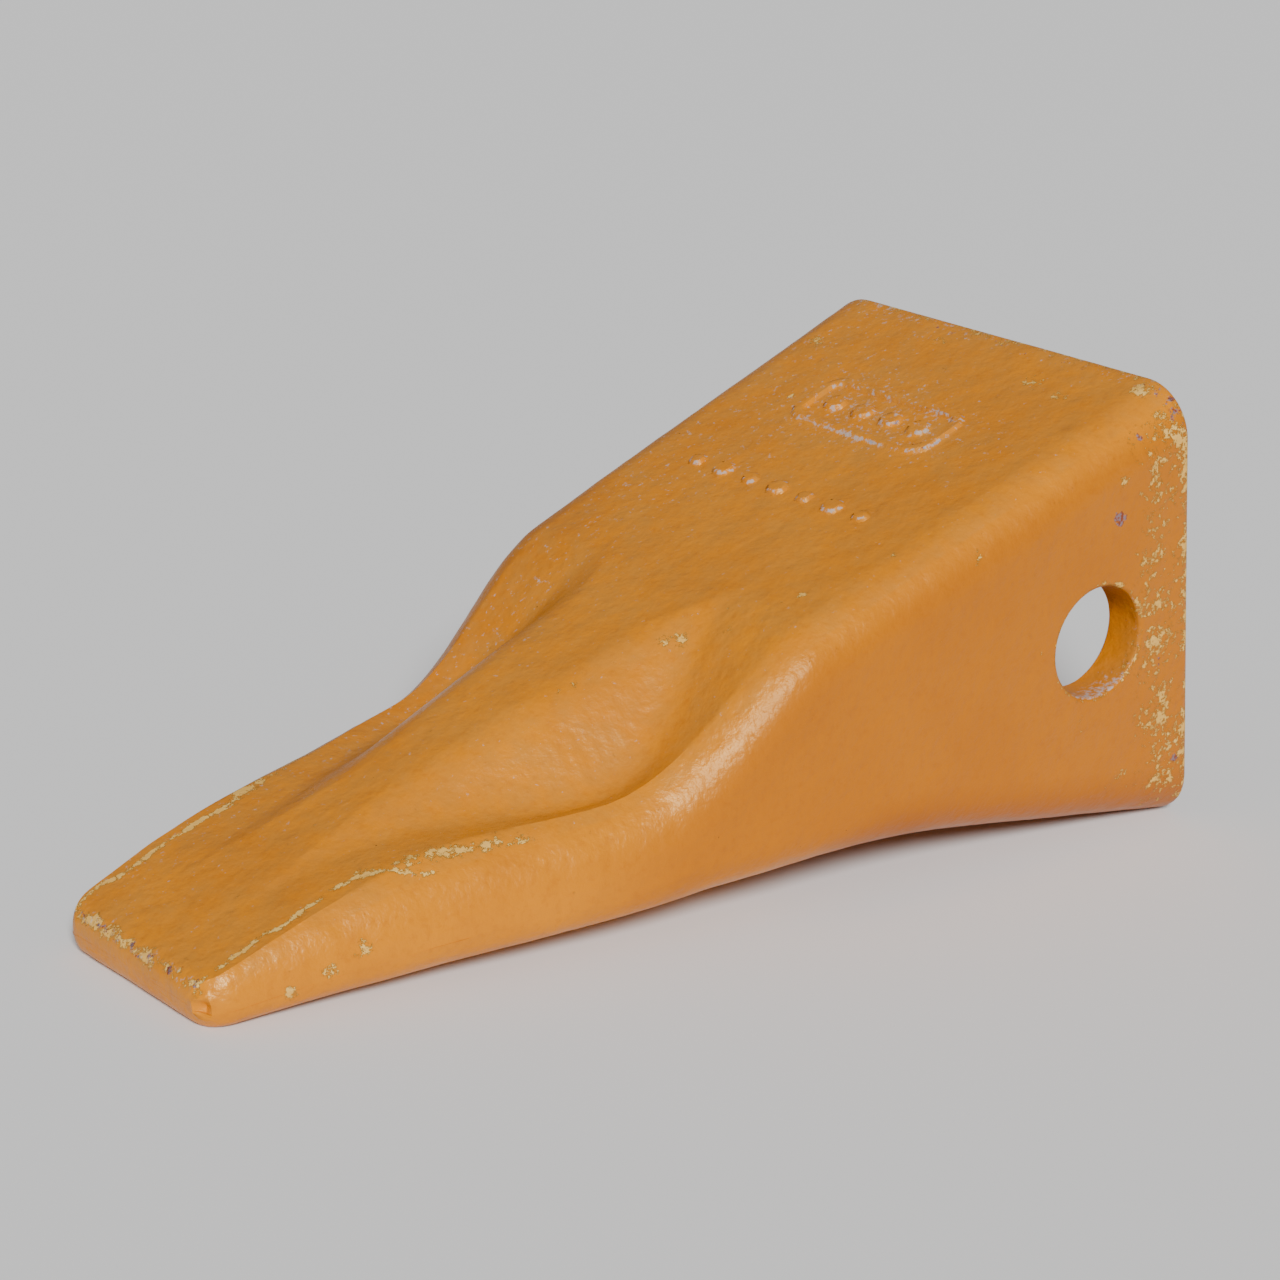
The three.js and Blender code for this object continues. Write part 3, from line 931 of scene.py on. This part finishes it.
pin = on_axis("turned_lock_pin", *lathe(pin_profile(), LATHE_SEGMENTS), -PIN_WITHDRAWN)
ring_shape = closed_lathe(retainer_profile(), LATHE_SEGMENTS)
ring = on_axis("rubber_retainer", *ring_shape, -RETAINER_SEAT)
spring = on_axis("snap_spring", *spring_sweep(SPRING_STEPS), -RETAINER_SEAT)
for piece, body, node, slot in (
    (pin, "lock_pin", "lock_pin", "pin_steel"),
    (ring, "retainer", "retainer_body", "retainer_rubber"),
    (spring, "retainer", "retainer_spring", "spring_steel"),
):
    face_outwards(piece)
    shade(piece, TURNED_SHARP_ANGLE)
    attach(piece, body)
    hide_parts(node)
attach(casting, "tooth")
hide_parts("tooth_casting")

# ---- Materials ----


SHADER_INPUTS = {
    "color": "Base Color",
    "roughness": "Roughness",
    "metallic": "Metallic",
    "normal": "Normal",
    "specular": "Specular IOR Level",
    "specular_tint": "Specular Tint",
}


class Nodes:
    """Short ways of adding nodes to a material's tree."""

    def __init__(self, name):
        self.material = bpy.data.materials.new(name)
        self.material.use_nodes = True
        self.tree = self.material.node_tree
        self.shader = self.tree.nodes["Principled BSDF"]
        self.place = self.add("ShaderNodeTexCoord").outputs["Object"]

    def add(self, kind, **settings):
        node = self.tree.nodes.new(kind)
        for name, value in settings.items():
            setattr(node, name, value)
        return node

    def feed(self, socket, value):
        if isinstance(value, bpy.types.NodeSocket):
            self.tree.links.new(value, socket)
        elif isinstance(value, tuple) and len(value) == 3:
            socket.default_value = (*value, 1)
        else:
            socket.default_value = value

    def noise(self, size_mm, detail=3.0, roughness=0.5, stretch=None):
        node = self.add("ShaderNodeTexNoise")
        place = self.place
        if stretch:
            mapping = self.add("ShaderNodeMapping")
            self.feed(mapping.inputs["Vector"], place)
            mapping.inputs["Scale"].default_value = stretch
            place = mapping.outputs["Vector"]
        self.feed(node.inputs["Vector"], place)
        node.inputs["Scale"].default_value = 1000 / size_mm
        node.inputs["Detail"].default_value = detail
        node.inputs["Roughness"].default_value = roughness
        return node.outputs["Fac"]

    def cells(self, size_mm):
        node = self.add("ShaderNodeTexVoronoi")
        self.feed(node.inputs["Vector"], self.place)
        node.inputs["Scale"].default_value = 1000 / size_mm
        return node.outputs["Distance"]

    def attribute(self, name):
        node = self.add("ShaderNodeAttribute", attribute_name=name)
        return node.outputs["Fac"]

    def math(self, operation, a, b=0.0):
        node = self.add("ShaderNodeMath", operation=operation)
        self.feed(node.inputs[0], a)
        self.feed(node.inputs[1], b)
        return node.outputs["Value"]

    def ramp(self, value, low, high, to_low=0.0, to_high=1.0):
        node = self.add("ShaderNodeMapRange", interpolation_type="SMOOTHSTEP")
        self.feed(node.inputs["Value"], value)
        self.feed(node.inputs["From Min"], low)
        self.feed(node.inputs["From Max"], high)
        self.feed(node.inputs["To Min"], to_low)
        self.feed(node.inputs["To Max"], to_high)
        return node.outputs["Result"]

    def mix(self, share, a, b):
        node = self.add("ShaderNodeMix", data_type="RGBA")
        self.feed(node.inputs["Factor"], share)
        colors = [s for s in node.inputs if s.type == "RGBA"]
        self.feed(colors[0], a)
        self.feed(colors[1], b)
        return next(s for s in node.outputs if s.type == "RGBA")

    def blend(self, share, a, b):
        node = self.add("ShaderNodeMix", data_type="FLOAT")
        self.feed(node.inputs[0], share)
        self.feed(node.inputs[2], a)
        self.feed(node.inputs[3], b)
        return node.outputs[0]

    def bump(self, height, depth_mm, under=None):
        node = self.add("ShaderNodeBump")
        node.inputs["Distance"].default_value = depth_mm * MM
        node.inputs["Strength"].default_value = 1
        self.feed(node.inputs["Height"], height)
        if under is not None:
            self.feed(node.inputs["Normal"], under)
        return node.outputs["Normal"]

    def set(self, **values):
        for name, value in values.items():
            self.feed(self.shader.inputs[SHADER_INPUTS[name]], value)
        return self.material


PAINT = (0.66, 0.218, 0)
PAINT_DEEP = (0.52, 0.15, 0)
# Colour of the painted shade laid on the sides, low down and on the far shoulder
PAINT_SHADED = (0.37, 0.09, 0)
PAINT_DUSTY = (0.42, 0.21, 0.05)
PAINT_SHEEN = (1, 0.76, 0.38)
UNDERCOAT = (0.8, 0.5, 0.13)
UNDERCOAT_DARK = (0.75, 0.42, 0.09)
RUST = (0.22, 0.045, 0.02)
GREY_CHIP = (0.22, 0.15, 0.17)
DUST = (0.42, 0.46, 0.5)
PINHOLE = (0.05, 0.02, 0.01)
STEEL = (0.3, 0.29, 0.275)
STEEL_DARK = (0.2, 0.185, 0.17)
STEEL_FRECKLE = (0.16, 0.07, 0.03)
RUBBER = (0.018, 0.018, 0.019)
RUBBER_BLOOM = (0.05, 0.048, 0.045)
BLUED = (0.1, 0.115, 0.15)
BLUED_WORN = (0.17, 0.165, 0.17)


def paint_color(n, noises, wear):
    """The paint's colour with its clouds, painted shade, dust, chips, rust, grey spots and pinholes."""
    coarse, medium, fine, speck = noises
    dust, chipped, rusty, dusty = wear
    color = n.mix(n.ramp(coarse, 0.35, 0.68, 0.0, 0.4), PAINT, PAINT_DEEP)
    color = n.mix(n.ramp(fine, 0.45, 0.8, 0.0, 0.6), color, PAINT_DEEP)
    # Painted shade: darker paint on the sides, low down and on the far shoulder
    color = n.mix(n.math("MULTIPLY", n.attribute("low"), 0.95), color, PAINT_SHADED)
    film = n.math("MULTIPLY", dust, n.ramp(medium, 0.3, 0.7))
    color = n.mix(n.math("MULTIPLY", film, 0.9), color, PAINT_DUSTY)
    under = n.mix(n.ramp(medium, 0.42, 0.6), UNDERCOAT, UNDERCOAT_DARK)
    color = n.mix(chipped, color, under)
    color = n.mix(rusty, color, n.mix(n.ramp(speck, 0.42, 0.58), RUST, GREY_CHIP))
    color = n.mix(dusty, color, DUST)
    pinhole = n.math("LESS_THAN", n.cells(9), 0.035)
    hole = n.math("MULTIPLY", pinhole, n.math("GREATER_THAN", medium, 0.57))
    color = n.mix(n.math("MULTIPLY", hole, 0.8), color, PINHOLE)
    return n.mix(n.math("MULTIPLY", n.attribute("inside"), 0.35), color, PAINT_DEEP)


def ragged_edges(n, chips, rust, dust):
    """Where paint is gone, rusty or grey: the stored wear with noise on it, cut off sharply."""
    scatter = n.math("ADD", n.noise(2.6, 8, 0.8), n.math("MULTIPLY", n.noise(9, 5, 0.7), 0.6))
    lost = n.math("ADD", chips, n.math("ADD", n.math("MULTIPLY", scatter, 1.35), -1.08))
    chipped = n.ramp(lost, 0.44, 0.5)
    stained = n.math("ADD", rust, n.math("MULTIPLY", n.noise(3.1, 5, 0.65), 1.3))
    rusty = n.ramp(stained, 1.13, 1.2)
    grey = n.math("ADD", dust, n.math("MULTIPLY", n.noise(1.9, 5, 0.7), 1.4))
    return chipped, rusty, n.ramp(grey, 1.22, 1.4, 0.0, 0.6)


def casting_paint():
    n = Nodes("satin_ochre_paint")
    coarse = n.noise(42, 4, 0.55)
    medium = n.noise(9, 5, 0.6)
    fine = n.noise(2.6, 4, 0.6)
    speck = n.noise(1.1, 2, 0.5)
    dust = n.attribute("dust")
    chipped, rusty, dusty = ragged_edges(n, n.attribute("chips"), n.attribute("rust"), dust)
    noises, wear = (coarse, medium, fine, speck), (dust, chipped, rusty, dusty)
    roughness = n.ramp(coarse, 0.3, 0.7, 0.31, 0.41)
    for share, rough in ((chipped, 0.7), (rusty, 0.85), (dusty, 0.9)):
        roughness = n.blend(share, roughness, rough)
    normal = n.bump(n.noise(13, 3, 0.5), 1.1)
    normal = n.bump(n.noise(3.4, 3, 0.55), 0.34, normal)
    normal = n.bump(speck, 0.09, normal)
    normal = n.bump(n.math("MULTIPLY", chipped, -1), 0.16, normal)
    return n.set(
        color=paint_color(n, noises, wear),
        roughness=roughness,
        normal=normal,
        specular=0.52,
        specular_tint=PAINT_SHEEN,
    )


# Noise drawn out round the pin, so that it reads as the marks of the lathe
LATHE_MARKS = (0.04, 1, 0.04)


def pin_steel():
    n = Nodes("turned_oiled_steel")
    turned = n.noise(1.3, 3, 0.6, stretch=LATHE_MARKS)
    blotch = n.noise(18, 4, 0.6)
    color = n.mix(n.ramp(blotch, 0.35, 0.7), STEEL, STEEL_DARK)
    freckle = n.ramp(n.noise(4, 6, 0.7), 0.62, 0.7)
    color = n.mix(n.math("MULTIPLY", freckle, 0.5), color, STEEL_FRECKLE)
    roughness = n.blend(freckle, n.ramp(turned, 0.3, 0.7, 0.26, 0.4), 0.6)
    normal = n.bump(turned, 0.03)
    return n.set(color=color, roughness=roughness, normal=normal, metallic=1.0)


def retainer_rubber():
    n = Nodes("matt_black_rubber")
    bloom = n.noise(14, 5, 0.6)
    color = n.mix(n.ramp(bloom, 0.4, 0.75), RUBBER, RUBBER_BLOOM)
    roughness = n.ramp(bloom, 0.3, 0.7, 0.6, 0.78)
    normal = n.bump(n.noise(0.9, 2, 0.5), 0.03)
    return n.set(color=color, roughness=roughness, normal=normal)


def spring_steel():
    n = Nodes("blued_spring_steel")
    blotch = n.noise(10, 4, 0.6)
    color = n.mix(n.ramp(blotch, 0.35, 0.7), BLUED, BLUED_WORN)
    roughness = n.ramp(n.noise(2, 4, 0.6), 0.3, 0.7, 0.28, 0.42)
    normal = n.bump(n.noise(1.5, 3, 0.5), 0.02)
    return n.set(color=color, roughness=roughness, normal=normal, metallic=1.0)


for piece, material in (
    (casting, casting_paint()),
    (pin, pin_steel()),
    (ring, retainer_rubber()),
    (spring, spring_steel()),
):
    piece.data.materials.clear()
    piece.data.materials.append(material)

# ---- Floor, light and camera ----

FLOOR_HALF = 30
FLOOR_COLOR = (0.84, 0.84, 0.84, 1)
FLOOR_ROUGHNESS = 0.9
WORLD_COLOR = (1, 1, 1, 1)
WORLD_STRENGTH = 0.21
KEY_ENERGY = 4.3
KEY_SPREAD = math.radians(16)
TOWARDS_KEY = (0.8, 1.3, 1.02)
SENSOR_MM = 36
CLIP_END = 100
LENS_MM = 94.4
CAMERA_PLACE = Vector((0.6532, 0.7819, 0.4063))
CAMERA_DIRECTION = Vector((-0.62205, -0.71662, -0.31546))
CAMERA_ROLL = math.radians(2.46)


def make_camera():
    data = bpy.data.cameras.new("camera")
    data.lens = LENS_MM
    data.sensor_width = SENSOR_MM
    data.clip_end = CLIP_END
    camera = bpy.data.objects.new("camera", data)
    turn = CAMERA_DIRECTION.to_track_quat("-Z", "Y")
    roll = Matrix.Rotation(CAMERA_ROLL, 3, "Z").to_quaternion()
    camera.matrix_world = Matrix.Translation(CAMERA_PLACE) @ (turn @ roll).to_matrix().to_4x4()
    bpy.context.scene.collection.objects.link(camera)
    bpy.context.scene.camera = camera


def make_floor():
    corners = np.array([(-1, -1, 0), (1, -1, 0), (1, 1, 0), (-1, 1, 0)]) * FLOOR_HALF
    floor = make_object("floor", corners, [(0, 1, 2, 3)])
    material = bpy.data.materials.new("pale_floor")
    material.use_nodes = True
    shader = material.node_tree.nodes["Principled BSDF"]
    shader.inputs["Base Color"].default_value = FLOOR_COLOR
    shader.inputs["Roughness"].default_value = FLOOR_ROUGHNESS
    floor.data.materials.append(material)


def make_light():
    """Even light from all around and one soft sun over the near side."""
    world = bpy.data.worlds.new("studio")
    world.use_nodes = True
    background = world.node_tree.nodes["Background"]
    background.inputs["Color"].default_value = WORLD_COLOR
    background.inputs["Strength"].default_value = WORLD_STRENGTH
    bpy.context.scene.world = world
    sun = bpy.data.lights.new("key", "SUN")
    sun.energy = KEY_ENERGY
    sun.angle = KEY_SPREAD
    key = bpy.data.objects.new("key", sun)
    key.rotation_euler = Vector(TOWARDS_KEY).to_track_quat("Z", "Y").to_euler()
    bpy.context.scene.collection.objects.link(key)


make_camera()
make_floor()
make_light()
